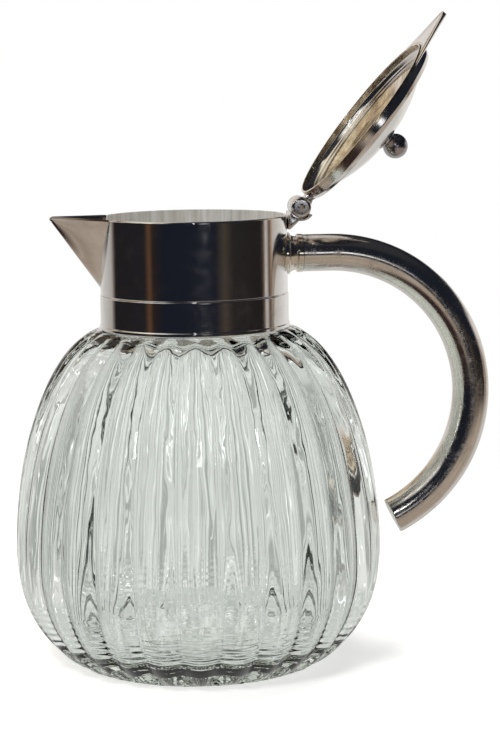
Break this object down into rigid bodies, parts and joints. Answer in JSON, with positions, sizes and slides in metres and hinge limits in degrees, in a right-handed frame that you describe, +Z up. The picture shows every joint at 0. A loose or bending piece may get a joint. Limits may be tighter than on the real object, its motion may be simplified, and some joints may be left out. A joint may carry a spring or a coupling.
{
  "type": "lidded glass pitcher",
  "caption": "Ribbed round glass jug with a silver-plated collar, pointed spout, open tube handle and hinged dome lid with a ball knob and a spout flap.",
  "frame": {"origin": "centre of the flat base, on the surface the jug stands on", "axes": "+Z up along the glass body's axis, -X towards the spout, +X towards the handle"},
  "size_m": [0.2446, 0.1862, 0.3261],
  "materials": {
    "glass": "clear pressed glass",
    "cement": "matte plaster",
    "silver": "polished silver plate with fine scratches",
    "silver_spout": "polished silver plate, a little dulled",
    "silver_handle": "polished silver plate with pits and scratches",
    "silver_hinge": "polished silver plate, tarnished in the seams",
    "hinge_pin": "dull nickel silver",
    "silver_lid": "polished silver plate with warm tarnish",
    "silver_knob": "darkened silver plate"
  },
  "bodies": {
    "pitcher": {"glass_body": "glass", "neck_cement": "cement", "collar_base_band": "silver", "collar_sleeve": "silver", "spout": "silver_spout", "handle_ferrule": "silver", "handle_tube": "silver_handle", "handle_end_cap": "silver_handle", "hinge_bracket": "silver_hinge", "fixed_knuckles": "silver_hinge", "hinge_pin": "hinge_pin"},
    "lid": {"lid_knuckle": "silver_hinge", "lid_leaf": "silver_hinge", "lid_shell": "silver_lid", "lid_flap": "silver_lid", "knob_washer": "silver_lid", "knob_ball": "silver_knob", "knob_stud": "silver_lid"}
  },
  "joints": [
    {"name": "lid_hinge", "type": "hinge", "parent": "pitcher", "child": "lid", "pos_m": [0.0539, 0, 0.2294], "axis": [0, -1, 0], "range_deg": [0, 128.6]}
  ]
}
